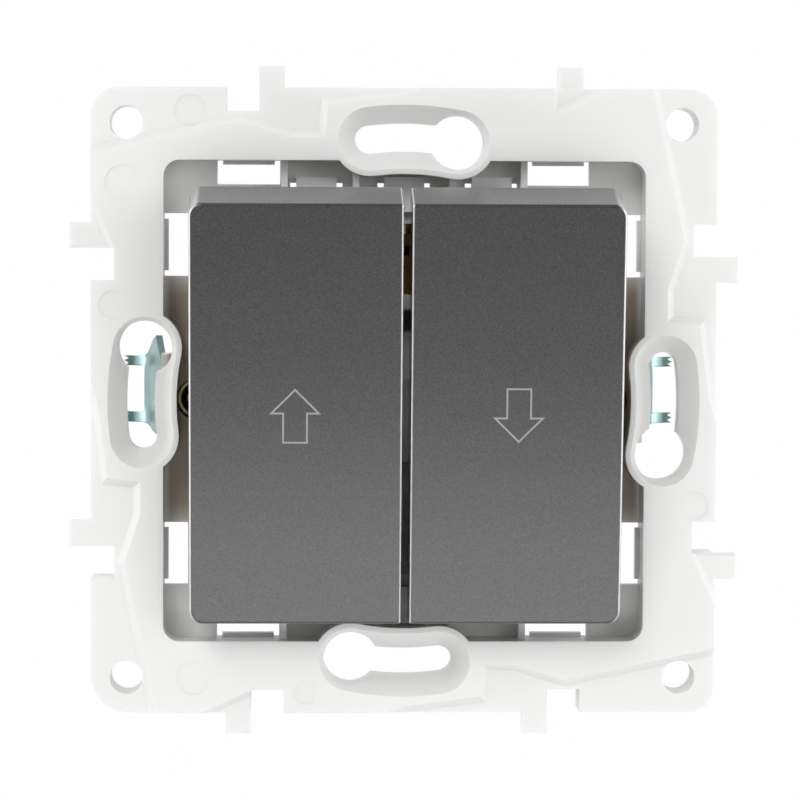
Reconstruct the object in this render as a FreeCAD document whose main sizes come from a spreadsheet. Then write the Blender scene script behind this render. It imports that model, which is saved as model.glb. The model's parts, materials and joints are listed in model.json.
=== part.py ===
import FreeCAD, Part
import math
import os
import re

import Sketcher

# Roller shutter switch: a flush insert with two rocker keys, up and down, in a white support frame.
# X is across to the right, Z is up and Y goes into the wall. The origin is the centre of the frame on the
# wall plane, so the room side has negative Y. All sizes are in millimetres.

doc = FreeCAD.newDocument("shutter_switch")

SIZES = [
    # support frame
    ("frame_width", 71.0),
    ("frame_depth", 6.2),
    ("frame_corner", 3.2),
    ("low_left_corner", 4.3),
    ("low_right_corner", 2.8),
    ("edge_key_far", 20.2),
    ("tab_width", 2.9),
    ("tab_reach", 2.4),
    ("tab_thickness", 2.4),
    ("relief_depth", 0.8),
    ("relief_start", 7.4),
    ("relief_waist", 3.8),
    ("relief_hip", 5.6),
    ("relief_step", 9.1),
    ("channel_width", 6.2),
    ("channel_reach", 2.9),
    ("pin_mark_depth", 0.08),
    ("notch_width", 3.7),
    ("notch_depth", 2.65),
    ("corner_hole_place", 31.5),
    ("corner_hole_radius", 1.9),
    ("fixing_circle", 30.0),
    ("keyhole_radius", 3.1),
    ("keyhole_ahead", 6.0),
    ("keyhole_behind", 4.0),
    ("slot_width", 3.25),
    ("recess_width", 7.2),
    ("recess_depth", 3.0),
    ("lobe_wall", 0.6),
    ("well_width", 54.6),
    ("well_corner", 1.85),
    ("floor_thickness", 1.2),
    ("rim_seat", 0.25),
    ("rib_width", 0.75),
    ("rib_reach", 3.4),
    ("rib_height", 2.6),
    ("inner_rib_place", 5.5),
    ("outer_rib_place", 13.65),
    ("window_place", 17.7),
    ("window_length", 7.15),
    ("window_reach", 2.7),
    ("ledge_length", 5.9),
    ("ledge_width", 0.45),
    ("core_wall", 1.5),
    ("core_width", 2.2),
    ("core_depth", 3.8),
    ("core_start", 12.0),
    ("core_end", 27.0),
    # mechanism base and its snap hooks
    ("base_width", 40.0),
    ("base_height", 43.2),
    ("back_wall", 2.7),
    ("base_wall", 1.4),
    ("base_corner", 2.0),
    ("cavity_depth", 14.0),
    ("hook_spacing", 10.0),
    ("hook_width", 4.6),
    ("hook_thickness", 1.4),
    ("hook_root", 4.0),
    ("hook_nose", 1.4),
    ("hook_reach", 2.4),
    ("clip_window_width", 6.0),
    ("clip_window_height", 3.4),
    # keys and the pivot that both rockers share
    ("pivot_out", 4.8),
    ("rest_tilt", 7.4),
    ("key_gap", 0.9),
    ("key_width", 23.75),
    ("key_height", 47.4),
    ("key_radius", 9.4),
    ("skirt_depth", 6.2),
    ("skirt_flare", 1.15),
    ("key_wall", 1.5),
    ("key_corner", 1.45),
    ("key_edge", 0.35),
    ("key_leg_width", 6.0),
    ("key_leg_wall", 1.2),
    ("key_leg_nose", 0.6),
    # rockers
    ("rocker_plate", 1.5),
    ("rocker_height", 36.0),
    ("rocker_side_play", 0.1),
    ("web_width", 1.2),
    ("web_span", 14.4),
    ("trunnion_radius", 1.5),
    ("bearing_play", 0.03),
    ("cheek_width", 1.8),
    ("cheek_cover", 0.7),
    ("hub_radius", 2.4),
    ("hub_back", 9.0),
    ("nose_place", 9.0),
    ("nose_width", 2.2),
    ("nose_back", 4.5),
    # plungers and springs
    ("plunger_radius", 1.3),
    ("plunger_play", 0.06),
    ("plunger_tip", 13.4),
    ("plunger_length", 9.4),
    ("spring_length", 5.5),
    ("spring_coil", 1.0),
    ("spring_wire", 0.22),
    # contact levers and terminals
    ("lever_in", 9.6),
    ("lever_tilt", 5.0),
    ("lever_width", 5.0),
    ("lever_length", 18.0),
    ("lever_thickness", 0.8),
    ("barrel_radius", 0.9),
    ("barrel_play", 0.1),
    ("contact_place", 8.0),
    ("contact_radius", 1.3),
    ("contact_height", 1.4),
    ("contact_shank", 0.6),
    ("contact_closed_gap", 0.15),
    ("strip_thickness", 0.8),
    ("strip_width", 5.0),
    ("post_top", 10.0),
    ("clamp_width", 7.0),
    ("clamp_depth", 7.0),
    ("clamp_height", 6.9),
    ("clamp_wall", 0.8),
    ("clamp_top", 1.4),
    ("clamp_play", 0.15),
    ("terminal_screw_radius", 1.25),
    ("terminal_head_radius", 1.9),
    ("terminal_slot", 0.5),
    ("terminal_head_height", 1.2),
    ("wire_hole_radius", 1.4),
    # interlock
    ("interlock_in", 2.7),
    ("interlock_front", 1.5),
    ("interlock_thickness", 0.9),
    ("interlock_height", 2.2),
    ("interlock_arm", 5.2),
    ("interlock_boss", 1.6),
    ("interlock_pin_radius", 0.6),
    # expansion claws, their screws and nuts
    ("claw_screw_gap", 3.6),
    ("claw_hole_radius", 2.4),
    ("claw_seat", 2.4),
    ("claw_tube_radius", 3.2),
    ("claw_tube_length", 3.8),
    ("claw_head_radius", 2.2),
    ("claw_head_height", 1.6),
    ("claw_screw_radius", 1.5),
    ("claw_screw_length", 15.2),
    ("claw_hinge_out", 2.8),
    ("claw_hinge_in", 5.2),
    ("claw_roll_radius", 0.9),
    ("claw_width", 7.5),
    ("claw_thickness", 1.0),
    ("claw_knee_out", 3.0),
    ("claw_knee_in", 6.6),
    ("claw_tip_out", 6.1),
    ("claw_tip_in", 8.8),
    ("claw_tooth", 2.0),
    ("claw_notch_flare", 1.4),
    ("claw_point", 0.9),
    ("nut_side_play", 0.3),
    ("screw_cross", 1.4),
    ("screw_cross_width", 0.6),
    ("lug_wall", 1.2),
    ("nut_in", 7.95),
    ("nut_thickness", 3.0),
    ("nut_half_height", 3.0),
]

sheet = doc.addObject("Spreadsheet::Sheet", "Dim")
for row, (alias, size) in enumerate(SIZES, start=1):
    sheet.set(f"A{row}", alias.replace("_", " "))
    sheet.set(f"B{row}", str(size))
    sheet.setAlias(f"B{row}", alias)
doc.recompute()
ALIASES = {alias for alias, _ in SIZES}


# Expressions are written with plain size names, and full() puts the sheet's name before each.
def full(text):
    return re.sub(r"[a-z_]{3,}", lambda m: f"Dim.{m[0]}" if m[0] in ALIASES else m[0], text)


def value(text):
    return float(sheet.evalExpression(full(text)))


def bind(thing, prop, text):
    thing.setExpression(prop, full(text))


# The two halves of the switch mirror each other: a stretch from near to far of the centre line.
def across(side, near, far):
    if side > 0:
        return near, far
    return f"-({far})", f"-({near})"


# Sketch helpers. On the XZ plane a sketch lies parallel to the wall and its normal points to the room.
def body(name):
    return doc.addObject("PartDesign::Body", name)


def origin_part(owner, role):
    return next(part for part in owner.Origin.OriginFeatures if part.Role == role)


def sketch(owner, name, role, off="0"):
    drawn = owner.newObject("Sketcher::SketchObject", f"{owner.Name}_{name}")
    drawn.AttachmentSupport = (origin_part(owner, role), [""])
    drawn.MapMode = "FlatFace"
    bind(drawn, "AttachmentOffset.Base.z", off)
    return drawn


def fix_point(drawn, item, vertex, x, y):
    for kind, text in (("DistanceX", x), ("DistanceY", y)):
        number = drawn.addConstraint(Sketcher.Constraint(kind, -1, 1, item, vertex, value(text)))
        bind(drawn, f"Constraints[{number}]", text)


def polygon(drawn, points):
    corners = [FreeCAD.Vector(value(x), value(y), 0) for x, y in points]
    first = drawn.GeometryCount
    count = len(points)
    for i in range(count):
        drawn.addGeometry(Part.LineSegment(corners[i], corners[(i + 1) % count]))
    for i in range(count):
        nxt = first + (i + 1) % count
        drawn.addConstraint(Sketcher.Constraint("Coincident", first + i, 2, nxt, 1))
        fix_point(drawn, first + i, 1, *points[i])


def rectangle(drawn, left, bottom, right, top):
    polygon(drawn, [(left, bottom), (right, bottom), (right, top), (left, top)])


def circle(drawn, x, y, radius):
    centre = FreeCAD.Vector(value(x), value(y), 0)
    item = drawn.addGeometry(Part.Circle(centre, FreeCAD.Vector(0, 0, 1), value(radius)))
    fix_point(drawn, item, 3, x, y)
    number = drawn.addConstraint(Sketcher.Constraint("Radius", item, value(radius)))
    bind(drawn, f"Constraints[{number}]", radius)


# A slot bent along the fixing circle over the top of the frame, from its round end on the right.
def bent_slot(drawn, half):
    ring = value("fixing_circle")
    wide = value(half)
    up = FreeCAD.Vector(0, 0, 1)
    middle = FreeCAD.Vector(0, 0, 0)
    half_turn = math.pi
    turn_a = half_turn / 2 - math.asin(value("keyhole_ahead") / ring)
    turn_b = half_turn / 2 + math.asin(value("keyhole_behind") / ring)
    end_a = FreeCAD.Vector(value("keyhole_ahead"), value("sqrt(fixing_circle ^ 2 - keyhole_ahead ^ 2)"), 0)
    end_b = FreeCAD.Vector(value("-keyhole_behind"), value("sqrt(fixing_circle ^ 2 - keyhole_behind ^ 2)"), 0)
    outer = drawn.addGeometry(Part.ArcOfCircle(Part.Circle(middle, up, ring + wide), turn_a, turn_b))
    inner = drawn.addGeometry(Part.ArcOfCircle(Part.Circle(middle, up, ring - wide), turn_a, turn_b))
    cap_a = drawn.addGeometry(Part.ArcOfCircle(Part.Circle(end_a, up, wide), turn_a - half_turn, turn_a))
    cap_b = drawn.addGeometry(Part.ArcOfCircle(Part.Circle(end_b, up, wide), turn_b, turn_b + half_turn))
    for item in (outer, inner):
        drawn.addConstraint(Sketcher.Constraint("Coincident", item, 3, -1, 1))
    drawn.addConstraint(Sketcher.Constraint("Tangent", cap_a, 2, outer, 1))
    drawn.addConstraint(Sketcher.Constraint("Tangent", outer, 2, cap_b, 1))
    drawn.addConstraint(Sketcher.Constraint("Tangent", cap_b, 2, inner, 2))
    drawn.addConstraint(Sketcher.Constraint("Tangent", inner, 1, cap_a, 1))
    for item, text in ((outer, f"fixing_circle + {half}"), (inner, f"fixing_circle - {half}")):
        number = drawn.addConstraint(Sketcher.Constraint("Radius", item, value(text)))
        bind(drawn, f"Constraints[{number}]", text)
    for item, text in ((cap_a, "keyhole_ahead"), (cap_b, "-keyhole_behind")):
        number = drawn.addConstraint(Sketcher.Constraint("DistanceX", -1, 1, item, 3, value(text)))
        bind(drawn, f"Constraints[{number}]", text)


# Feature helpers. A pad grows along the sketch's normal, a pocket cuts against it, and flip turns that.
def pad(owner, drawn, length, flip=False, middle=False):
    feature = owner.newObject("PartDesign::Pad", f"{drawn.Name}_pad")
    feature.Profile = drawn
    bind(feature, "Length", length)
    feature.Reversed = flip
    feature.Midplane = middle
    drawn.Visibility = False
    doc.recompute()
    return feature


def pocket(owner, drawn, length=None, flip=False, middle=False):
    feature = owner.newObject("PartDesign::Pocket", f"{drawn.Name}_pocket")
    feature.Profile = drawn
    if length is None:
        feature.Type = "ThroughAll"
    else:
        bind(feature, "Length", length)
    feature.Reversed = flip
    feature.Midplane = middle
    doc.recompute()
    return feature


# Copies features about the Y axis, clockwise as seen from the room.
def around(owner, features, count=4, angle=360):
    pattern = owner.newObject("PartDesign::PolarPattern", f"{features[-1].Name}_around")
    pattern.Originals = features
    pattern.Axis = (origin_part(owner, "Y_Axis"), [""])
    pattern.Angle = angle
    pattern.Occurrences = count
    owner.Tip = pattern
    doc.recompute()
    return pattern


def fillet(owner, name, radius, wanted):
    base = owner.Tip
    chosen = [f"Edge{i}" for i, edge in enumerate(base.Shape.Edges, start=1) if wanted(edge)]
    feature = owner.newObject("PartDesign::Fillet", f"{owner.Name}_{name}")
    feature.Base = (base, chosen)
    bind(feature, "Radius", radius)
    doc.recompute()
    return feature


def ends(edge):
    first = edge.Vertexes[0].Point
    last = edge.Vertexes[-1].Point
    return first, last


# True for a straight edge along Y at the given distances from the centre, in any quarter.
def runs_in(edge, x, z):
    first, last = ends(edge)
    level = abs(first.x - last.x) < 0.01 and abs(first.z - last.z) < 0.01
    return level and abs(abs(first.x) - x) < 0.01 and abs(abs(first.z) - z) < 0.01


# True for a straight edge along Y at one of the given places across and at one height.
def stands_at(edge, places, z):
    first, last = ends(edge)
    level = abs(first.x - last.x) < 0.01 and abs(first.z - last.z) < 0.01
    return level and min(abs(first.x - x) for x in places) < 0.01 and abs(first.z - z) < 0.01


# Plain solids. A block runs from its low corner to its high corner, a rod from its base along one axis.
def block(name, low, high):
    solid = doc.addObject("Part::Box", name)
    for axis, prop, start, stop in zip("xyz", ("Length", "Width", "Height"), low, high):
        bind(solid, f"Placement.Base.{axis}", start)
        bind(solid, prop, f"{stop} - ({start})")
    return solid


TURN = {
    "x": FreeCAD.Rotation(FreeCAD.Vector(0, 1, 0), 90),
    "y": FreeCAD.Rotation(FreeCAD.Vector(1, 0, 0), -90),
    "z": FreeCAD.Rotation(),
}


def rod(name, axis, base, radius, length):
    solid = doc.addObject("Part::Cylinder", name)
    solid.Placement = FreeCAD.Placement(FreeCAD.Vector(0, 0, 0), TURN[axis])
    for direction, start in zip("xyz", base):
        bind(solid, f"Placement.Base.{direction}", start)
    bind(solid, "Radius", radius)
    bind(solid, "Height", length)
    return solid


def fuse(name, solids):
    joined = doc.addObject("Part::MultiFuse", name)
    joined.Shapes = solids
    return joined


def cut(name, base, tool):
    left = doc.addObject("Part::Cut", name)
    left.Base = base
    left.Tool = tool
    return left


# Turns a finished piece about a pivot line along X that lies at the given depth.
def tilt(thing, depth, angle):
    thing.Placement = FreeCAD.Placement(FreeCAD.Vector(0, 0, 0), FreeCAD.Rotation(FreeCAD.Vector(1, 0, 0), 1))
    bind(thing, "Placement.Base.y", depth)
    bind(thing, "Placement.Rotation.Angle", f"({angle}) * 1deg")


nodes = []


def node(thing, label):
    thing.Label = label
    nodes.append(thing)


HALF_FRAME = "frame_width / 2"
HALF_WELL = "well_width / 2"
HALF_CAVITY_WIDTH = "(base_width / 2 - base_wall)"
HALF_CAVITY_HEIGHT = "(base_height / 2 - base_wall)"
ROCKER_NEAR = "(key_gap / 2 + key_wall + rocker_side_play)"
ROCKER_MIDDLE = f"({ROCKER_NEAR} + web_span / 2)"
ROCKER_FAR = f"({ROCKER_NEAR} + web_span)"
BASE_REAR = "(cavity_depth + clamp_depth + 2 * clamp_play)"
BASE_DEPTH = f"({BASE_REAR} + back_wall)"
SCREW_PLACE = "(base_width / 2 + claw_screw_gap)"
HINGE_PLACE = f"({SCREW_PLACE} + claw_hinge_out)"
CLIP_NEAR = "(base_height / 2 - 0.2)"
PLATE_BACK = "(key_radius - key_wall - rocker_plate)"
PLUNGER_REAR = "(plunger_tip - plunger_length)"
STRIP_FRONT = "(cavity_depth - strip_thickness)"
CROSSBAR = "(2 * strip_thickness)"
INTERLOCK_LOW = "(nose_place - interlock_height / 2)"
INTERLOCK_BACK = "(interlock_in + interlock_boss + 0.7)"
CLAMP_OUTER = f"({HALF_CAVITY_HEIGHT} - terminal_head_height)"
CLAMP_INNER = f"({CLAMP_OUTER} - clamp_height)"
CLAMP_ROOM = "(clamp_height + terminal_head_height + clamp_play)"
CLAMP_FRONT = "(cavity_depth + clamp_play)"
CLAMP_MIDDLE = f"({CLAMP_FRONT} + clamp_depth / 2)"
WIRE_PLACE = f"({CLAMP_INNER} + clamp_wall + wire_hole_radius)"
TAIL_OUTER = f"({CLAMP_OUTER} - clamp_top - 1.2)"
CLAMPS = (("common", "0", 1), ("up", f"-{ROCKER_MIDDLE}", -1), ("down", ROCKER_MIDDLE, -1))
SIDES = ((-1, "up"), (1, "down"))
PIN_MARKS = (
    ("high", "0", (("-31.9", "24.7", "2.0"), ("-33.0", "10.9", "1.6"), ("-32.6", "-12.4", "2.1"),
                   ("-23.9", "-31.5", "1.9"), ("-11.2", "-33.2", "1.3"), ("33.1", "-11.8", "1.6"))),
    ("low", "relief_depth", (("-24.3", "32.9", "1.8"),)),
)
FLANKS = ((-1, "left"), (1, "right"))


# The white frame. Its edge keys, keyholes, windows and core-outs repeat on all four sides.
def make_support_frame():
    frame = body("support_frame")
    outline = sketch(frame, "outline", "XZ_Plane")
    rectangle(outline, f"-{HALF_FRAME}", f"-{HALF_FRAME}", HALF_FRAME, HALF_FRAME)
    pad(frame, outline, "frame_depth")
    corner = value(HALF_FRAME)
    fillet(frame, "top_corners", "frame_corner",
           lambda edge: stands_at(edge, (-corner, corner), corner))
    fillet(frame, "low_left", "low_left_corner", lambda edge: stands_at(edge, (-corner,), -corner))
    fillet(frame, "low_right", "low_right_corner", lambda edge: stands_at(edge, (corner,), -corner))

    tabs = sketch(frame, "tabs", "XZ_Plane", "frame_depth")
    inside = f"{HALF_FRAME} - notch_depth"
    tip = f"{HALF_FRAME} + tab_reach"
    rectangle(tabs, "-(edge_key_far - notch_width)", inside, "-(edge_key_far - notch_width - tab_width)", tip)
    rectangle(tabs, "edge_key_far - tab_width", inside, "edge_key_far", tip)
    around(frame, [pad(frame, tabs, "tab_thickness", flip=True)])

    outside = f"{HALF_FRAME} + 1"
    notch = sketch(frame, "notch", "XZ_Plane", "frame_depth")
    rectangle(notch, "-edge_key_far", inside, "-(edge_key_far - notch_width)", outside)
    around(frame, [pocket(frame, notch)])
    # the second notch is missing from the top side
    notch = sketch(frame, "second_notch", "XZ_Plane", "frame_depth")
    rectangle(notch, inside, "-(edge_key_far - tab_width)", outside,
              "-(edge_key_far - tab_width - notch_width)")
    around(frame, [pocket(frame, notch)], count=3, angle=180)

    # the corners lie lower than the middle, with a ramp between, and so do the roots of the second tabs
    relief = sketch(frame, "relief", "XZ_Plane", "frame_depth")
    beyond = f"({HALF_FRAME} + tab_reach + 2)"
    waist, hip = f"{HALF_FRAME} - relief_waist", f"{HALF_FRAME} - relief_hip"
    start = f"{HALF_FRAME} - relief_start"
    last = "relief_step / 2"
    polygon(relief, [(f"-{beyond}", start), (f"-{HALF_FRAME}", start),
                     ("-(edge_key_far - notch_width / 2)", waist), ("-(relief_step + relief_start / 2)", hip),
                     ("-relief_step", hip), ("-(relief_step * 0.96)", f"{HALF_FRAME} - relief_waist / 2"),
                     ("0", f"{HALF_FRAME} - relief_waist / 5"), (last, f"{HALF_FRAME} + relief_depth"),
                     (last, beyond), (f"-{beyond}", beyond)])
    channel = sketch(frame, "channel", "XZ_Plane", "frame_depth")
    root = "edge_key_far - tab_width - 0.4"
    polygon(channel, [(root, f"{HALF_FRAME} - channel_reach"), (f"{root} + channel_width", HALF_FRAME),
                      (f"{root} + channel_width", beyond), (root, beyond)])
    ramps = [pocket(frame, relief, "relief_depth"), pocket(frame, channel, "relief_depth * 0.8")]
    for ramp in ramps:
        ramp.TaperAngle = -45
    around(frame, ramps)

    well = sketch(frame, "well", "XZ_Plane", "frame_depth")
    rectangle(well, f"-{HALF_WELL}", f"-{HALF_WELL}", HALF_WELL, HALF_WELL)
    pocket(frame, well, "frame_depth - floor_thickness")
    side = value(HALF_WELL)
    fillet(frame, "well_corners", "well_corner", lambda edge: runs_in(edge, side, side))

    lobe = sketch(frame, "lobe", "XZ_Plane", "floor_thickness / 2")
    bent_slot(lobe, "(recess_width / 2 + lobe_wall)")
    around(frame, [pad(frame, lobe, "frame_depth - floor_thickness / 2")])

    tubes = sketch(frame, "claw_tubes", "XZ_Plane")
    heads = sketch(frame, "claw_holes", "XZ_Plane", "floor_thickness")
    shanks = sketch(frame, "claw_shanks", "XZ_Plane", "floor_thickness")
    lugs = sketch(frame, "claw_lugs", "XZ_Plane")
    bores = sketch(frame, "claw_bores", "XY_Plane")
    for side, _ in FLANKS:
        centre = f"{side} * {SCREW_PLACE}"
        circle(tubes, centre, "0", "claw_tube_radius")
        circle(heads, centre, "0", "claw_hole_radius")
        circle(shanks, centre, "0", "claw_screw_radius + 0.1")
        left, right = across(side, f"{HINGE_PLACE} - lug_wall", f"{HINGE_PLACE} + lug_wall + 0.2")
        low, high = "claw_width / 2 + 0.1", "claw_width / 2 + 0.1 + lug_wall"
        rectangle(lugs, left, low, right, high)
        rectangle(lugs, left, f"-({high})", right, f"-({low})")
        circle(bores, f"{side} * {HINGE_PLACE}", "claw_hinge_in", "claw_roll_radius + bearing_play")
    pad(frame, tubes, "claw_tube_length", flip=True)
    pad(frame, lugs, "claw_hinge_in + lug_wall", flip=True)
    pocket(frame, heads, "floor_thickness + claw_seat")
    pocket(frame, shanks)
    pocket(frame, bores, "claw_width * 2", middle=True)

    ribs = sketch(frame, "ribs", "XZ_Plane", "floor_thickness - 0.2")
    for place in ("-outer_rib_place", "-inner_rib_place", "inner_rib_place", "outer_rib_place"):
        rectangle(ribs, f"{place} - rib_width / 2", f"{HALF_WELL} - rib_reach", f"{place} + rib_width / 2",
                  f"{HALF_WELL} + 0.5")
    around(frame, [pad(frame, ribs, "rib_height + 0.2")], count=2, angle=180)

    recess = sketch(frame, "recess", "XZ_Plane", "frame_depth")
    bent_slot(recess, "(recess_width / 2)")
    slot = sketch(frame, "slot", "XZ_Plane", "frame_depth")
    bent_slot(slot, "(slot_width / 2)")
    keyhole = sketch(frame, "keyhole", "XZ_Plane", "frame_depth")
    circle(keyhole, "keyhole_ahead", "sqrt(fixing_circle ^ 2 - keyhole_ahead ^ 2)", "keyhole_radius")
    sloped = pocket(frame, recess, "recess_depth")
    bind(sloped, "TaperAngle", "-atan((recess_width - slot_width) / 2 / recess_depth)")
    # a round end goes through the plate and only notches the claw's lug behind it
    round_end = pocket(frame, keyhole, "frame_depth + lug_wall")
    around(frame, [sloped, pocket(frame, slot), round_end])

    holes = sketch(frame, "corner_hole", "XZ_Plane", "frame_depth")
    circle(holes, "corner_hole_place", "corner_hole_place", "corner_hole_radius")
    around(frame, [pocket(frame, holes)])

    windows = sketch(frame, "windows", "XZ_Plane", "floor_thickness")
    near = f"{HALF_WELL} - window_reach"
    ledge = f"{HALF_WELL} - ledge_width"
    for centre in ("-window_place", "window_place"):
        left, right = f"{centre} - window_length / 2", f"{centre} + window_length / 2"
        step_left, step_right = f"{centre} - ledge_length / 2", f"{centre} + ledge_length / 2"
        polygon(windows, [(left, near), (right, near), (right, HALF_WELL), (step_right, HALF_WELL),
                          (step_right, ledge), (step_left, ledge), (step_left, HALF_WELL), (left, HALF_WELL)])
    around(frame, [pocket(frame, windows)])

    opening = sketch(frame, "opening", "XZ_Plane", "floor_thickness")
    wide, high = f"({HALF_CAVITY_WIDTH} + 0.1)", HALF_CAVITY_HEIGHT
    rectangle(opening, f"-{wide}", f"-{high}", wide, high)
    for i in (-1, 0, 1):
        left, right = (f"{i} * hook_spacing + {end} * clip_window_width / 2" for end in (-1, 1))
        rectangle(opening, left, CLIP_NEAR, right, f"{CLIP_NEAR} + clip_window_height")
        rectangle(opening, left, f"-({CLIP_NEAR} + clip_window_height)", right, f"-{CLIP_NEAR}")
    pocket(frame, opening)

    # the rebate that the housing's rim seats in, and faint round marks left by the mould's ejector pins
    rebate = sketch(frame, "rebate", "XZ_Plane")
    rectangle(rebate, "-(base_width / 2 + 0.1)", "-(base_height / 2 + 0.1)", "base_width / 2 + 0.1",
              "base_height / 2 + 0.1")
    pocket(frame, rebate, "rim_seat", flip=True)
    for level, drop, marks in PIN_MARKS:
        spots = sketch(frame, f"{level}_pin_marks", "XZ_Plane", "frame_depth")
        for x, z, radius in marks:
            circle(spots, x, z, radius)
        pocket(frame, spots, f"{drop} + pin_mark_depth")

    cores = sketch(frame, "cores", "XZ_Plane")
    low = f"{HALF_WELL} + core_wall"
    rectangle(cores, "core_start", low, "core_end", f"{low} + core_width")
    rectangle(cores, "-core_end", low, "-core_start", f"{low} + core_width")
    around(frame, [pocket(frame, cores, "core_depth", flip=True)])
    node(frame, "support_frame")


# The outline that the housing and its rear cover share, as a block between two depths.
def housing_block(owner, rear, length):
    outline = sketch(owner, "outline", "XZ_Plane", f"-{rear}")
    rectangle(outline, "-base_width / 2", "-base_height / 2", "base_width / 2", "base_height / 2")
    pad(owner, outline, length)
    wide, high = value("base_width / 2"), value("base_height / 2")
    fillet(owner, "corners", "base_corner", lambda edge: runs_in(edge, wide, high))


# The rear housing: a deep tray that takes the terminals, with bearing cheeks for the two rockers.
def make_mechanism_base():
    base = body("mechanism_base")
    housing_block(base, BASE_REAR, f"{BASE_REAR} + rim_seat")
    cavity = sketch(base, "cavity", "XZ_Plane", "rim_seat")
    wide, high = HALF_CAVITY_WIDTH, HALF_CAVITY_HEIGHT
    rectangle(cavity, f"-{wide}", f"-{high}", wide, high)
    pocket(base, cavity, "cavity_depth + rim_seat")

    # one pocket for each clamp, open to the back, with its screw hole in the side wall
    pockets = sketch(base, "clamp_pockets", "XZ_Plane", "-cavity_depth")
    top_holes = sketch(base, "top_screw_hole", "XY_Plane", "base_height / 2")
    low_holes = sketch(base, "low_screw_holes", "XY_Plane", "-base_height / 2")
    for _, across_place, up in CLAMPS:
        near, far = across(up, f"{HALF_CAVITY_HEIGHT} - {CLAMP_ROOM}", HALF_CAVITY_HEIGHT)
        half = "clamp_width / 2 + clamp_play"
        rectangle(pockets, f"{across_place} - ({half})", near, f"{across_place} + {half}", far)
        holes = top_holes if up > 0 else low_holes
        circle(holes, across_place, CLAMP_MIDDLE, "terminal_head_radius + clamp_play")
    pocket(base, pockets)
    pocket(base, top_holes, "base_wall + clamp_play")
    pocket(base, low_holes, "base_wall + clamp_play", flip=True)

    # the centre wall carries the inner trunnions and has a gap for the interlock lever
    wall = sketch(base, "centre_wall", "YZ_Plane")
    cheek_out = "-(pivot_out + trunnion_radius + cheek_cover)"
    gap_low, gap_high = f"{INTERLOCK_LOW} - 0.3", f"{INTERLOCK_LOW} + interlock_height + 0.3"
    polygon(wall, [("cavity_depth + 0.5", "-web_span / 2"), ("0", "-web_span / 2"), (cheek_out, "-2.6"),
                   (cheek_out, "2.6"), ("-1", f"{gap_low} - 1"), ("-1", gap_low), (INTERLOCK_BACK, gap_low),
                   (INTERLOCK_BACK, gap_high), ("0", gap_high), ("0", f"{gap_high} + 1.5"),
                   ("cavity_depth + 0.5", f"{gap_high} + 1.5")])
    pad(base, wall, "cheek_width", middle=True)
    for side, name in SIDES:
        cheek = sketch(base, f"{name}_cheek", "YZ_Plane", f"{side} * ({ROCKER_FAR} + 0.2)")
        polygon(cheek, [("cavity_depth + 0.5", "-4"), ("0", "-4"), (cheek_out, "-2.6"),
                        (cheek_out, "2.6"), ("0", "4"), ("cavity_depth + 0.5", "4")])
        pad(base, cheek, f"{HALF_CAVITY_WIDTH} - ({ROCKER_FAR} + 0.2)", flip=side < 0)
    bearings = sketch(base, "bearings", "YZ_Plane")
    circle(bearings, "-pivot_out", "0", "trunnion_radius + bearing_play")
    pocket(base, bearings, "base_width", middle=True)
    strip_way = sketch(base, "strip_way", "YZ_Plane")
    rectangle(strip_way, f"{STRIP_FRONT} - 0.2", "-strip_thickness * 2 - 0.3", "cavity_depth",
              f"{gap_high} + 2")
    pocket(base, strip_way, "strip_width", middle=True)
    pin_hole = sketch(base, "pin_hole", "XY_Plane", f"{gap_high} + 1.5")
    circle(pin_hole, "0", "interlock_in", "interlock_pin_radius + bearing_play")
    pocket(base, pin_hole, "interlock_height + 4")

    # snap hooks that reach through the frame's floor and hold it by its front
    arms = sketch(base, "hook_arms", "XZ_Plane", "-hook_root")
    noses = sketch(base, "hook_noses", "XZ_Plane", "floor_thickness + 0.1")
    edge = f"{CLIP_NEAR} + clip_window_height"
    for i in (-1, 0, 1):
        left, right = f"{i} * hook_spacing - hook_width / 2", f"{i} * hook_spacing + hook_width / 2"
        for up in (-1, 1):
            low, high = across(up, "base_height / 2 - 0.1", "base_height / 2 + hook_thickness")
            rectangle(arms, left, low, right, high)
            low, high = across(up, "base_height / 2 + 0.5", f"{edge} + 0.7")
            rectangle(noses, left, low, right, high)
    pad(base, arms, "hook_root + floor_thickness + 0.1 + hook_nose")
    pad(base, noses, "hook_nose")
    node(base, "mechanism_base")


# The rear cover closes the clamp pockets and has the three wire entries.
def make_rear_cover():
    cover = body("rear_cover")
    housing_block(cover, BASE_DEPTH, "back_wall")
    wires = sketch(cover, "wire_holes", "XZ_Plane", f"-{BASE_REAR}")
    for _, across_place, up in CLAMPS:
        circle(wires, across_place, f"{up} * {WIRE_PLACE}", "wire_hole_radius")
    pocket(cover, wires)
    rear, corner = value(BASE_DEPTH), value("base_corner")
    fillet(cover, "rear_edge", "back_wall / 4",
           lambda edge: edge.BoundBox.YMin > rear - 0.01 and edge.Length > 4 * corner)
    node(cover, "rear_cover")


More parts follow.
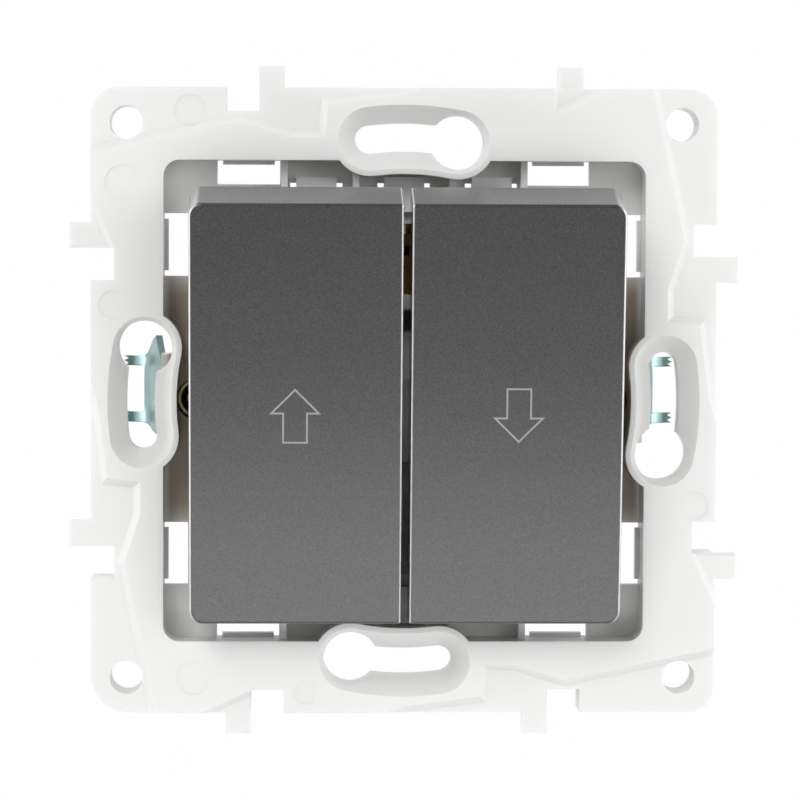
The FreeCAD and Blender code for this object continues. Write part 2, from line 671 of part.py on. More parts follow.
# One key: a shell whose top and bottom skirts flare outward, with legs that grip the rocker's plate.
def make_key(side, name):
    key = body(f"{name}_key")
    near, far = across(side, "key_gap / 2", "key_gap / 2 + key_width")
    profile = sketch(key, "profile", "YZ_Plane", near)
    back = "-(key_radius - skirt_depth)"
    flared = "key_height / 2 + skirt_flare"
    polygon(profile, [("-key_radius", "-key_height / 2"), ("-key_radius", "key_height / 2"),
                      (back, flared), (back, f"-({flared})")])
    pad(key, profile, "key_width")
    outer, inner = value(far if side > 0 else near), value(near if side > 0 else far)
    front = value("-key_radius")

    def slants(edge, x):
        first, last = ends(edge)
        level = abs(first.x - x) < 0.01 and abs(last.x - x) < 0.01
        return level and abs(first.y - last.y) > 1

    fillet(key, "outer_corners", "key_corner", lambda edge: slants(edge, outer))
    fillet(key, "inner_corners", "key_edge", lambda edge: slants(edge, inner))
    fillet(key, "rim", "key_edge", lambda edge: all(abs(v.Point.y - front) < 0.01 for v in edge.Vertexes))
    hollow = sketch(key, "hollow", "XZ_Plane", "key_radius - skirt_depth")
    half = "(key_height / 2 - key_wall)"
    rectangle(hollow, f"{near} + key_wall", f"-{half}", f"{far} - key_wall", half)
    pocket(key, hollow, "skirt_depth - key_wall", flip=True)

    legs = sketch(key, "legs", "XZ_Plane", "key_radius - key_wall + 0.2")
    noses = sketch(key, "noses", "XZ_Plane", f"{PLATE_BACK} - 0.1 - key_leg_wall")
    middle = f"{side} * (key_gap / 2 + key_width / 2)"
    left, right = f"{middle} - key_leg_width / 2", f"{middle} + key_leg_width / 2"
    for up in (-1, 1):
        low, high = across(up, "rocker_height / 2 + 0.05", "rocker_height / 2 + 0.05 + key_leg_wall")
        rectangle(legs, left, low, right, high)
        low, high = across(up, "rocker_height / 2 + 0.05 - key_leg_nose", "rocker_height / 2 + 0.5")
        rectangle(noses, left, low, right, high)
    pad(key, legs, "0.2 + rocker_plate + 0.1 + key_leg_wall", flip=True)
    pad(key, noses, "key_leg_wall")
    tilt(key, "-pivot_out", "rest_tilt")
    node(key, f"{name}_key")


# One inner rocker: plate, two webs with trunnions, a hub for the plunger and a nose for the interlock.
def make_rocker(side, name):
    rocker = body(f"{name}_rocker")
    plate = sketch(rocker, "plate", "XZ_Plane", PLATE_BACK)
    near, far = across(side, ROCKER_NEAR, "key_gap / 2 + key_width - key_wall - rocker_side_play")
    rectangle(plate, near, "-rocker_height / 2", far, "rocker_height / 2")
    pad(rocker, plate, "rocker_plate")
    for part, start in (("inner", ROCKER_NEAR), ("outer", f"({ROCKER_FAR} - web_width)")):
        near, far = across(side, start, f"{start} + web_width")
        web = sketch(rocker, f"{part}_web", "YZ_Plane", near)
        polygon(web, [(f"-{PLATE_BACK} - 0.2", "-web_span / 2"), (f"-{PLATE_BACK} - 0.2", "web_span / 2"),
                      ("0", "trunnion_radius + 0.9"), ("trunnion_radius + 0.4", "trunnion_radius"),
                      ("trunnion_radius + 0.4", "-trunnion_radius"), ("0", "-(trunnion_radius + 0.9)")])
        pad(rocker, web, "web_width")
    inner_stub = across(side, "0.12", f"{ROCKER_NEAR} + 0.2")
    outer_stub = across(side, f"{ROCKER_FAR} - 0.2", f"{HALF_CAVITY_WIDTH} - 0.1")
    for part, (near, far) in (("inner", inner_stub), ("outer", outer_stub)):
        stub = sketch(rocker, f"{part}_trunnion", "YZ_Plane", near)
        circle(stub, "0", "0", "trunnion_radius")
        pad(rocker, stub, f"{far} - ({near})")
    centre = f"{side} * {ROCKER_MIDDLE}"
    hub = sketch(rocker, "hub", "XZ_Plane", "-hub_back")
    circle(hub, centre, "0", "hub_radius")
    pad(rocker, hub, f"hub_back + {PLATE_BACK} + 0.2")
    bore = sketch(rocker, "bore", "XZ_Plane", "-hub_back")
    circle(bore, centre, "0", "plunger_radius + plunger_play")
    pocket(rocker, bore, f"hub_back - {PLUNGER_REAR} + spring_length", flip=True)
    nose = sketch(rocker, "nose", "XZ_Plane", "-nose_back")
    near, far = across(side, f"{ROCKER_NEAR} + 0.3", f"{ROCKER_NEAR} + 0.3 + nose_width")
    rectangle(nose, near, "nose_place - 1", far, "nose_place + 1")
    pad(rocker, nose, f"nose_back + {PLATE_BACK} + 0.2")
    tilt(rocker, "-pivot_out", "rest_tilt")
    node(rocker, f"{name}_rocker")


# The spring-loaded plunger in the rocker's hub, and its coil spring.
def make_plunger(side, name):
    centre = f"{side} * {ROCKER_MIDDLE}"
    shank = rod(f"{name}_plunger_shank", "y", (centre, PLUNGER_REAR, "0"), "plunger_radius",
                "plunger_length - plunger_radius")
    tip = doc.addObject("Part::Sphere", f"{name}_plunger_tip")
    bind(tip, "Radius", "plunger_radius")
    bind(tip, "Placement.Base.x", centre)
    bind(tip, "Placement.Base.y", "plunger_tip - plunger_radius")
    plunger = fuse(f"{name}_plunger", [shank, tip])
    tilt(plunger, "-pivot_out", "rest_tilt")
    node(plunger, f"{name}_plunger")

    coil = doc.addObject("Part::Helix", f"{name}_spring_coil")
    bind(coil, "Radius", "spring_coil")
    bind(coil, "Height", "spring_length - 2 * spring_wire - 0.1")
    bind(coil, "Pitch", "(spring_length - 2 * spring_wire - 0.1) / 4.5")
    section = doc.addObject("Part::RegularPolygon", f"{name}_spring_section")
    section.Polygon = 6
    section.Placement = FreeCAD.Placement(FreeCAD.Vector(), FreeCAD.Rotation(FreeCAD.Vector(1, 0, 0), 90))
    bind(section, "Placement.Base.x", "spring_coil")
    bind(section, "Circumradius", "spring_wire")
    spring = doc.addObject("Part::Sweep", f"{name}_plunger_spring")
    spring.Sections = [section]
    spring.Spine = (coil, ["Edge1"])
    spring.Solid = True
    spring.Frenet = True
    start = f"({PLUNGER_REAR} - spring_length + spring_wire + 0.05)"
    tilt(spring, f"{start} * cos(rest_tilt * 1deg) - pivot_out", "rest_tilt + 270")
    bind(spring, "Placement.Base.x", centre)
    bind(spring, "Placement.Base.z", f"{start} * sin(rest_tilt * 1deg)")
    node(spring, f"{name}_plunger_spring")


# A contact lever is a brass see-saw on its barrel, with a silver rivet that meets the one on the terminal.
def make_contact(side, name):
    centre = f"{side} * {ROCKER_MIDDLE}"
    left, right = f"{centre} - lever_width / 2", f"{centre} + lever_width / 2"
    back = "(lever_thickness - barrel_radius)"
    plate = block(f"{name}_lever_plate", (left, "-barrel_radius", "-lever_length / 2"),
                  (right, back, "lever_length / 2"))
    barrel = rod(f"{name}_lever_barrel", "x", (f"{centre} - 1.4", "0", "0"), "barrel_radius", "2.8")
    hole = rod(f"{name}_lever_hole", "y", (centre, "-2", "-contact_place"), "contact_shank", "4")
    lever = cut(f"{name}_contact_lever", fuse(f"{name}_lever_blank", [plate, barrel]), hole)
    tilt(lever, "lever_in", "360 - lever_tilt")
    node(lever, f"{name}_contact_lever")

    head = rod(f"{name}_lever_head", "y", (centre, back, "-contact_place"), "contact_radius",
               "contact_height")
    shank = rod(f"{name}_lever_shank", "y", (centre, "-barrel_radius", "-contact_place"), "contact_shank",
                "lever_thickness + contact_height / 2")
    rivet = fuse(f"{name}_lever_contact", [head, shank])
    tilt(rivet, "lever_in", "360 - lever_tilt")
    node(rivet, f"{name}_lever_contact")

    turned = "(lever_tilt * 1deg)"
    top = (f"lever_in + ({back} + contact_height) * cos{turned}"
           f" + (contact_place + contact_radius) * sin{turned} + contact_closed_gap")
    fixed = rod(f"{name}_fixed_head", "y", (centre, top, "-contact_place"), "contact_radius",
                f"{STRIP_FRONT} - ({top})")
    root = rod(f"{name}_fixed_shank", "y", (centre, f"{STRIP_FRONT} - contact_height / 2", "-contact_place"),
               "contact_shank", "strip_thickness + contact_height / 2")
    node(fuse(f"{name}_fixed_contact", [fixed, root]), f"{name}_fixed_contact")


# The brass strips lie on the floor of the housing, and each has a tail that reaches into its clamp.
def make_terminals():
    for name, across_place, up in CLAMPS:
        left, right = f"{across_place} - strip_width / 2", f"{across_place} + strip_width / 2"
        start = "0" if up > 0 else "contact_place - contact_radius - 1"
        low, high = across(up, start, TAIL_OUTER)
        strip = block(f"{name}_strip", (left, STRIP_FRONT, low), (right, "cavity_depth", high))
        low, high = across(up, f"{TAIL_OUTER} - strip_thickness", TAIL_OUTER)
        tail = block(f"{name}_tail", (left, STRIP_FRONT, low),
                     (right, "cavity_depth + clamp_depth - strip_thickness", high))
        if up < 0:
            start = (across_place, f"{STRIP_FRONT} - strip_thickness", "-contact_place")
            hole = rod(f"{name}_hole", "y", start, "contact_shank", "3 * strip_thickness")
            blank = fuse(f"{name}_terminal_blank", [strip, tail])
            node(cut(f"{name}_terminal", blank, hole), f"{name}_terminal")
            continue
        reach = f"({ROCKER_MIDDLE} + strip_width * 0.3)"
        bar = block("common_bar", (f"-{reach}", STRIP_FRONT, f"-{CROSSBAR}"),
                    (reach, "cavity_depth", CROSSBAR))
        pieces = [strip, tail, bar]
        for side, half in SIDES:
            centre = f"{side} * {ROCKER_MIDDLE}"
            pieces.append(block(f"{half}_post", (f"{centre} - 1.5", "post_top", "-1.4"),
                                (f"{centre} + 1.5", f"{STRIP_FRONT} + 0.1", "1.4")))
        cradle = rod("cradles", "x", (f"-{reach} - 1", "lever_in", "0"), "barrel_radius + barrel_play",
                     f"2 * {reach} + 2")
        node(cut("common_terminal", fuse("common_terminal_blank", pieces), cradle), "common_terminal")


# Three like clamps and three like screws: each screw lifts the wire against the tail of its strip.
def make_clamps():
    clamps, screws = [], []
    for name, across_place, up in CLAMPS:
        half, inner = "clamp_width / 2", "(clamp_width / 2 - clamp_wall)"
        low, high = across(up, CLAMP_INNER, CLAMP_OUTER)
        box = block(f"{name}_clamp_box", (f"{across_place} - {half}", CLAMP_FRONT, low),
                    (f"{across_place} + {half}", f"{CLAMP_FRONT} + clamp_depth", high))
        low, high = across(up, f"{CLAMP_INNER} + clamp_wall", f"{CLAMP_OUTER} - clamp_top")
        way = block(f"{name}_clamp_way", (f"{across_place} - {inner}", "cavity_depth", low),
                    (f"{across_place} + {inner}", f"{CLAMP_FRONT} + clamp_depth + 1", high))
        low, high = across(up, f"{TAIL_OUTER} + 0.05", f"{CLAMP_OUTER} + terminal_head_height - 0.05")
        tapped = rod(f"{name}_clamp_thread", "z", (across_place, CLAMP_MIDDLE, low),
                     "terminal_screw_radius + bearing_play", f"{high} - ({low})")
        clamps.append(cut(f"{name}_clamp", box, fuse(f"{name}_clamp_cuts", [way, tapped])))
        shank = rod(f"{name}_screw_shank", "z", (across_place, CLAMP_MIDDLE, low), "terminal_screw_radius",
                    f"{high} - ({low})")
        low, high = across(up, CLAMP_OUTER, f"{CLAMP_OUTER} + terminal_head_height - 0.05")
        head = rod(f"{name}_screw_head", "z", (across_place, CLAMP_MIDDLE, low), "terminal_head_radius",
                   f"{high} - ({low})")
        low, high = across(up, f"{CLAMP_OUTER} + terminal_head_height / 2",
                           f"{CLAMP_OUTER} + terminal_head_height")
        reach, half = "terminal_head_radius", "terminal_slot / 2"
        groove = block(f"{name}_screw_slot", (f"{across_place} - {reach}", f"{CLAMP_MIDDLE} - {half}", low),
                       (f"{across_place} + {reach}", f"{CLAMP_MIDDLE} + {half}", high))
        screws.append(cut(f"{name}_terminal_screw", fuse(f"{name}_screw_blank", [shank, head]), groove))
    for label, solids in (("terminal_clamps", clamps), ("terminal_screws", screws)):
        group = doc.addObject("Part::Compound", label)
        group.Links = solids
        node(group, label)


# The see-saw behind the rockers' noses: one nose in holds the other nose out.
def make_interlock():
    top = f"{INTERLOCK_LOW} + interlock_height"
    arm = block("interlock_arm_bar", ("-interlock_arm", "interlock_front", INTERLOCK_LOW),
                ("interlock_arm", "interlock_front + interlock_thickness", top))
    boss = block("interlock_boss", ("-interlock_boss", "interlock_front", INTERLOCK_LOW),
                 ("interlock_boss", "interlock_in + interlock_boss", top))
    bore = rod("interlock_bore", "z", ("0", "interlock_in", f"{INTERLOCK_LOW} - 1"),
               "interlock_pin_radius + bearing_play", "interlock_height + 2")
    lever = cut("interlock_lever", fuse("interlock_blank", [arm, boss]), bore)
    node(lever, "interlock_lever")
    pin = rod("interlock_pin", "z", ("0", "interlock_in", f"{INTERLOCK_LOW} - 2"), "interlock_pin_radius",
              "interlock_height + 3.6")
    node(pin, "interlock_pin")


# One expansion claw: a strip rolled at its hinge, bent at the knee and cut to two teeth.
def make_claw(side, name):
    claw = body(f"{name}_claw")

    def spot(out, inward):
        return f"{side} * ({HINGE_PLACE} + {out})", f"claw_hinge_in + {inward}"

    half, third = "claw_thickness / 2", "claw_thickness / 3"
    strip = sketch(claw, "strip", "XY_Plane")
    polygon(strip, [spot(half, "0"),
                    spot(f"claw_knee_out + {half}", f"claw_knee_in - {third}"),
                    spot("claw_tip_out", "claw_tip_in"),
                    spot(f"claw_tip_out - {half}", f"claw_tip_in + {half}"),
                    spot(f"claw_knee_out - {half}", f"claw_knee_in + {third}"),
                    spot(f"-{half}", "0")])
    pad(claw, strip, "claw_width", middle=True)
    roll = sketch(claw, "roll", "XY_Plane")
    circle(roll, *spot("0", "0"), "claw_roll_radius")
    pad(claw, roll, "claw_width + 2 * lug_wall", middle=True)
    teeth = sketch(claw, "teeth", "XZ_Plane", "-(claw_hinge_in + claw_tip_in)")
    beyond, root, shoulder = (f"{side} * ({HINGE_PLACE} + {out})" for out in (
        "claw_tip_out + claw_thickness", "claw_knee_out + claw_thickness", "claw_tip_out - claw_tooth"))
    mouth = "(claw_width / 2 - claw_tooth + claw_notch_flare / 2)"
    neck = "(claw_width / 2 - claw_tooth - claw_notch_flare / 2)"
    polygon(teeth, [(beyond, f"-{mouth}"), (beyond, mouth), (root, neck), (root, f"-{neck}")])
    edge = "(claw_width / 2 + claw_thickness / 10)"
    for up in ("1", "-1"):
        polygon(teeth, [(shoulder, f"{up} * {edge}"), (beyond, f"{up} * {edge}"),
                        (beyond, f"{up} * (claw_width / 2 - claw_point)")])
    pocket(claw, teeth, "claw_tip_in * 2", middle=True)
    node(claw, f"{name}_claw")

    near, far = across(side, "base_width / 2 + nut_side_play", f"{HINGE_PLACE} + 0.2")
    wedge = block(f"{name}_nut_block", (near, "nut_in", "-nut_half_height"),
                  (far, "nut_in + nut_thickness", "nut_half_height"))
    centre = f"{side} * {SCREW_PLACE}"
    thread = rod(f"{name}_nut_thread", "y", (centre, "nut_in - 1", "0"), "claw_screw_radius + bearing_play",
                 "nut_thickness + 2")
    node(cut(f"{name}_claw_nut", wedge, thread), f"{name}_claw_nut")

    head = rod(f"{name}_claw_head", "y", (centre, "claw_seat - claw_head_height", "0"), "claw_head_radius",
               "claw_head_height")
    shank = rod(f"{name}_claw_shank", "y", (centre, "claw_seat - 0.2", "0"), "claw_screw_radius",
                "claw_screw_length + 0.2")
    top = "claw_seat - claw_head_height - 0.1"
    bottom = "claw_seat - claw_head_height * 0.4"
    reach, half = "screw_cross", "screw_cross_width / 2"
    long_slot = block(f"{name}_long_slot", (f"{centre} - {reach}", top, f"-{half}"),
                      (f"{centre} + {reach}", bottom, half))
    short_slot = block(f"{name}_short_slot", (f"{centre} - {half}", top, f"-{reach}"),
                       (f"{centre} + {half}", bottom, reach))
    screw = cut(f"{name}_claw_screw", fuse(f"{name}_claw_screw_blank", [head, shank]),
                fuse(f"{name}_claw_cross", [long_slot, short_slot]))
    node(screw, f"{name}_claw_screw")


make_support_frame()
make_mechanism_base()
make_rear_cover()
for side, name in SIDES:
    make_key(side, name)
    make_rocker(side, name)
    make_plunger(side, name)
    make_contact(side, name)
make_terminals()
make_clamps()
make_interlock()
for side, name in FLANKS:
    make_claw(side, name)

doc.recompute()
for thing in doc.Objects:
    failed = [state for state in thing.State if state in ("Invalid", "Error")]
    if failed:
        raise RuntimeError(f"{thing.Name} failed: {thing.State}")
for thing in nodes:
    if thing.Shape.isNull() or not thing.Shape.isValid():
        raise RuntimeError(f"{thing.Label} has no valid shape")

os.makedirs("parts", exist_ok=True)
for thing in nodes:
    thing.Shape.exportStep(f"parts/{thing.Label}.step")
    box = thing.Shape.BoundBox
    print(f"{thing.Label}: {len(thing.Shape.Solids)} solid(s), {thing.Shape.Volume:.1f} mm3, "
          f"x {box.XMin:.2f} {box.XMax:.2f}, y {box.YMin:.2f} {box.YMax:.2f}, "
          f"z {box.ZMin:.2f} {box.ZMax:.2f}")
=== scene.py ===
# %% [markdown]
# Roller shutter switch, the flush insert without its cover frame. The real one is a white moulded support
# frame with two graphite rocker keys, a white housing behind them and two zinc-plated expansion claws.
# The rigid pieces come ready made, so this lesson gives them their finishes, adds what is printed, rolled
# or threaded on them, and sets the camera where the photographer stood.

# %% Load the rigid pieces
import json
import math

import bpy
from mathutils import Matrix, Vector


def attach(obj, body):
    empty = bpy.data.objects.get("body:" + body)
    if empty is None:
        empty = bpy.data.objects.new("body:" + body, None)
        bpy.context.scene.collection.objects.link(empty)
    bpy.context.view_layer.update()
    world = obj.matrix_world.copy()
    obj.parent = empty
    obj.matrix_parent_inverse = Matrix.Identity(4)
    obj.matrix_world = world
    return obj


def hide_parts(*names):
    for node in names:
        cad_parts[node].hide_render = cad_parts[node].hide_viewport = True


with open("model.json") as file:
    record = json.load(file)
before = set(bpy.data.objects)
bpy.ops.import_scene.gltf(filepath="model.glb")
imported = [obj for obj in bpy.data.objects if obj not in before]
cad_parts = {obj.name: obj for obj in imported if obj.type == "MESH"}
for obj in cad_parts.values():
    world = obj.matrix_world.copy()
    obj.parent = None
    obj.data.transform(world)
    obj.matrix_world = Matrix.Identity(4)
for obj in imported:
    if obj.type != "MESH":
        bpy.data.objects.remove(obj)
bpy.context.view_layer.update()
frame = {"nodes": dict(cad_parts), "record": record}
MM = 0.001

# %% [markdown]
# Operators act on everything that is selected, and the loaded pieces arrive selected. So each step starts
# by clearing the selection and then picks the one object that it works on, as a person would in the window.
# Faces and edges are picked by a test on their place or normal, and modifiers are applied at once.


# %% Helpers for picking and shaping
def place(x, y, z):
    return (x * MM, y * MM, z * MM)


def pick(*things):
    bpy.ops.object.select_all(action="DESELECT")
    for thing in things:
        thing.select_set(True)
    bpy.context.view_layer.objects.active = things[0]


def edit_parts(thing, kind, wanted):
    pick(thing)
    bpy.ops.object.mode_set(mode="EDIT")
    bpy.ops.mesh.select_mode(type=kind)
    bpy.ops.mesh.select_all(action="DESELECT")
    bpy.ops.object.mode_set(mode="OBJECT")
    parts = thing.data.polygons if kind == "FACE" else thing.data.edges
    for part in parts:
        part.select = wanted(part)
    bpy.ops.object.mode_set(mode="EDIT")


def delete_parts(thing, kind, wanted):
    edit_parts(thing, kind, wanted)
    bpy.ops.mesh.delete(type=kind)
    bpy.ops.object.mode_set(mode="OBJECT")


def face_outward(thing):
    pick(thing)
    bpy.ops.object.mode_set(mode="EDIT")
    bpy.ops.mesh.select_all(action="SELECT")
    bpy.ops.mesh.normals_make_consistent(inside=False)
    bpy.ops.object.mode_set(mode="OBJECT")


def shape_by(thing, kind, **settings):
    pick(thing)
    bpy.ops.object.modifier_add(type=kind)
    added = thing.modifiers[-1]
    for key, setting in settings.items():
        setattr(added, key, setting)
    bpy.ops.object.modifier_apply(modifier=added.name)


# %% [markdown]
# A long lens far in front of the switch sees it almost square on, a little from above and from the left.
# The angles come from fitting the corners of the frame, the keyholes and the keys to the photograph.
# Turning the camera by a matrix keeps the three small angles in plain sight.

# %% Camera
LENS = 154.5
SENSOR = 36.0
CAMERA_PLACE = place(-13.548, -394.721, 19.940)
YAW, PITCH, ROLL = -1.925, -2.905, -0.233

bpy.ops.object.select_all(action="DESELECT")
bpy.ops.object.camera_add(location=CAMERA_PLACE)
camera = bpy.context.object
turned = Matrix.Rotation(math.radians(YAW), 3, "Z") @ Matrix.Rotation(math.radians(PITCH), 3, "X")
turned = turned @ Matrix.Rotation(math.radians(ROLL), 3, "Y") @ Matrix.Rotation(math.radians(90), 3, "X")
camera.rotation_euler = turned.to_euler()
camera.data.lens = LENS
camera.data.sensor_width = SENSOR
camera.data.clip_start = 0.01
bpy.context.scene.camera = camera
bpy.context.scene.view_settings.view_transform = "Standard"
print("camera at", [round(v, 4) for v in camera.location], "lens", LENS)

# %% [markdown]
# The background and every finish are built from nodes. A few small helpers keep that readable: they make a
# node with its values, a small sum, a ramp between two limits, a mix of two colours, or a noise that stays
# on its piece.


# %% Helpers for nodes
def add_node(tree, kind, **settings):
    made = tree.nodes.new(kind)
    for key, setting in settings.items():
        setattr(made, key, setting)
    return made


def give(tree, socket, given):
    if hasattr(given, "is_output"):
        tree.links.new(given, socket)
    else:
        socket.default_value = given


def feed(tree, node, **inputs):
    for key, given in inputs.items():
        give(tree, node.inputs[key.replace("_", " ")], given)
    return node


def math_node(tree, operation, first, second=0.0):
    made = add_node(tree, "ShaderNodeMath", operation=operation)
    give(tree, made.inputs[0], first)
    give(tree, made.inputs[1], second)
    return made.outputs[0]


def ramp(tree, given, start, end):
    made = add_node(tree, "ShaderNodeMapRange")
    return feed(tree, made, Value=given, From_Min=start, From_Max=end).outputs["Result"]


def spread(tree, given, low, high):
    made = add_node(tree, "ShaderNodeMapRange")
    return feed(tree, made, Value=given, To_Min=low, To_Max=high).outputs["Result"]


def blend_colours(tree, amount, first, second):
    made = add_node(tree, "ShaderNodeMix", data_type="RGBA")
    for socket, given in ((made.inputs[0], amount), (made.inputs[6], first), (made.inputs[7], second)):
        give(tree, socket, given)
    return made.outputs[2]


def axis_of(tree, coordinate, axis):
    where = add_node(tree, "ShaderNodeTexCoord")
    apart = add_node(tree, "ShaderNodeSeparateXYZ")
    tree.links.new(where.outputs[coordinate], apart.inputs[0])
    return apart.outputs[axis]


def size_of(tree, coordinate, axis):
    return math_node(tree, "ABSOLUTE", axis_of(tree, coordinate, axis))


def object_noise(tree, scale, detail, stretch=None):
    where = add_node(tree, "ShaderNodeTexCoord").outputs["Object"]
    if stretch:
        along = add_node(tree, "ShaderNodeMapping")
        where = feed(tree, along, Vector=where, Scale=stretch).outputs["Vector"]
    made = add_node(tree, "ShaderNodeTexNoise")
    return feed(tree, made, Vector=where, Scale=scale, Detail=detail).outputs["Fac"]


# %% [markdown]
# The catalogue picture has a pure white background. The world shows white to the camera, and lights the
# object with less, so that the white plastic keeps its shading. What looks back past the switch meets the
# white backdrop too: that draws thin bright lines on the rounded edges of the keys and shines a little
# through the thin plastic. A pale floor lies far below, because the real switch is held in a wall.

# %% World and floor
SKY_LIGHT = 0.4
BACKDROP_LIGHT = 1.0
BACKDROP_EDGE, BACKDROP_SOFTNESS = 0.1, 0.1
FLOOR_DEPTH = -0.7
FLOOR_SIZE = 1.6

world = bpy.data.worlds.new("studio")
bpy.context.scene.world = world
world.use_nodes = True
sky = world.node_tree
shown = sky.nodes["Background"]
rays = add_node(sky, "ShaderNodeLightPath").outputs
seen = math_node(sky, "MAXIMUM", rays["Is Camera Ray"], rays["Is Transmission Ray"])
behind = ramp(sky, axis_of(sky, "Generated", "Y"), BACKDROP_EDGE, BACKDROP_EDGE + BACKDROP_SOFTNESS)
white = math_node(sky, "MAXIMUM", seen, behind)
feed(sky, shown, Color=(1, 1, 1, 1), Strength=spread(sky, white, SKY_LIGHT, BACKDROP_LIGHT))

bpy.ops.mesh.primitive_plane_add(size=FLOOR_SIZE, location=(0, 0, FLOOR_DEPTH))
floor = bpy.context.object
floor.name = "floor"
print("floor", FLOOR_SIZE, "m wide at", FLOOR_DEPTH)

# %% [markdown]
# Soft lamps stand in for studio boxes. The key light hangs in front, above and to the left, and a fill
# stands on the right. A low box in front is mirrored in the lower half of the tilted keys: its upper edge is
# the soft border across them, above which they are darker. Two strips at the sides light the edges.

# %% Lamps
LAMPS = {
    "key_lamp": {"spot": (-0.5, -0.9, 0.8), "width": 0.6, "height": 0.6, "power": 7.0},
    "fill_lamp": {"spot": (0.8, -0.9, 0.2), "width": 0.6, "height": 0.6, "power": 3.2},
    "low_lamp": {"spot": (0.05, -0.887, -0.462), "width": 0.9, "height": 0.3, "power": 2.2},
    "left_strip": {"spot": (-0.9, -0.12, 0.1), "width": 0.25, "height": 0.8, "power": 2.2},
    "right_strip": {"spot": (0.9, -0.12, 0.1), "width": 0.25, "height": 0.8, "power": 2.2},
}

for name, made_like in LAMPS.items():
    bpy.ops.object.light_add(type="AREA", location=made_like["spot"])
    lamp = bpy.context.object
    lamp.name = name
    lamp.data.shape = "RECTANGLE"
    lamp.data.size = made_like["width"]
    lamp.data.size_y = made_like["height"]
    lamp.data.energy = made_like["power"]
    lamp.rotation_euler = (-Vector(made_like["spot"])).to_track_quat("-Z", "Y").to_euler()
    print(name, made_like["power"], "W")

# %% [markdown]
# Several finishes share an effect, such as grain or painted shade in corners. Each effect is a node group
# with named sockets, built once and placed in each material with its own values.

# %% Helpers for groups
FLOAT = "NodeSocketFloat"


def new_group(name, inputs, outputs):
    tree = bpy.data.node_groups.new(name, "ShaderNodeTree")
    for label, start in inputs.items():
        socket = tree.interface.new_socket(label, in_out="INPUT", socket_type=FLOAT)
        socket.default_value = start
    for label in outputs:
        tree.interface.new_socket(label, in_out="OUTPUT", socket_type=FLOAT)
    print("group", name)
    return tree, tree.nodes.new("NodeGroupInput").outputs, tree.nodes.new("NodeGroupOutput")


def use_group(tree, group, **inputs):
    placed = add_node(tree, "ShaderNodeGroup", node_tree=group)
    return feed(tree, placed, **inputs).outputs


# %% [markdown]
# Moulded plastic is never quite even: the tool leaves a fine grain, and the shade drifts a little over a
# few millimetres. One group gives both, a height for the Bump node and a mask for colour and roughness.
# It reads Object coordinates, which stay on the piece when a key rocks.

# %% Group: moulded grain
GRAIN, grain_in, grain_out = new_group(
    "moulded_grain", {"Grain Scale": 6000.0, "Patch Scale": 120.0}, ["Height", "Patches"]
)
feed(
    GRAIN,
    grain_out,
    Height=object_noise(GRAIN, grain_in["Grain Scale"], detail=2.0),
    Patches=object_noise(GRAIN, grain_in["Patch Scale"], detail=3.0),
)

# %% [markdown]
# Painted shade gathers where surfaces meet. Ambient occlusion finds those corners, and a noise breaks the
# mask up so that the painted shade is uneven.

# %% Group: painted shade in corners
CORNER_SHADE_SCALE = 400.0

# painted shade: a mask that darkens the colour in corners
CORNER_SHADE, corner_shade_in, corner_shade_out = new_group("corner_painted_shade", {"Reach": 0.002, "Amount": 0.5}, ["Mask"])
corner = feed(CORNER_SHADE, add_node(CORNER_SHADE, "ShaderNodeAmbientOcclusion", samples=6), Distance=corner_shade_in["Reach"])
closed = math_node(CORNER_SHADE, "SUBTRACT", 1.0, corner.outputs["AO"])
uneven = math_node(CORNER_SHADE, "MULTIPLY", closed, object_noise(CORNER_SHADE, CORNER_SHADE_SCALE, detail=4.0))
feed(CORNER_SHADE, corner_shade_out, Mask=math_node(CORNER_SHADE, "MULTIPLY", uneven, corner_shade_in["Amount"]))

# %% [markdown]
# Metallic lacquer holds aluminium flakes of a few hundredths of a millimetre. Each lies at its own angle, so
# some catch the light and most don't. A cell texture gives every flake one random value, which brightens or
# darkens its colour as a painted glint, and another that tips its normal.

# %% Group: flakes
FLAKES, flake_in, flake_out = new_group("metal_flakes", {"Flake Scale": 9000.0}, ["Glint", "Tilt"])
spot = add_node(FLAKES, "ShaderNodeTexCoord")
cells = add_node(FLAKES, "ShaderNodeTexVoronoi")
feed(FLAKES, cells, Vector=spot.outputs["Object"], Scale=flake_in["Flake Scale"])
values = add_node(FLAKES, "ShaderNodeSeparateColor")
FLAKES.links.new(cells.outputs["Color"], values.inputs[0])
feed(FLAKES, flake_out, Glint=values.outputs["Red"], Tilt=values.outputs["Green"])

# %% [markdown]
# Each finish is one function that makes a material with a Principled shader. What is the same all over is
# set on the shader itself, and only what changes over the surface comes through nodes.


# %% Start of a finish
def new_finish(name, **plain):
    finish = bpy.data.materials.new(name)
    finish.use_nodes = True
    tree = finish.node_tree
    shader = feed(tree, tree.nodes["Principled BSDF"], **plain)
    return finish, tree, shader


def bump_from(tree, shader, height, strength, distance):
    made = add_node(tree, "ShaderNodeBump")
    feed(tree, made, Height=height, Strength=strength, Distance=distance * MM)
    feed(tree, shader, Normal=made.outputs["Normal"])


# %% [markdown]
# The support frame is glossy white plastic. Its colour is a touch darker than paper, painted shade greys it
# slightly in its corners, and the grain is so fine that it only softens the highlights. A little light goes
# through the thin walls. Beside the middle of the keys, where the keys shade the well, painted shade makes it
# browner: that mask is the part of the well that lies deep enough, close enough to the keys and near enough
# to their middle.

# %% White plastic
WHITE = (0.83, 0.83, 0.825, 1)
WHITE_SHADE = (0.78, 0.78, 0.77, 1)
# painted shade: brown grey that darkens the white plastic in its corners
CORNER_SHADE_COLOUR = (0.30, 0.25, 0.19, 1)
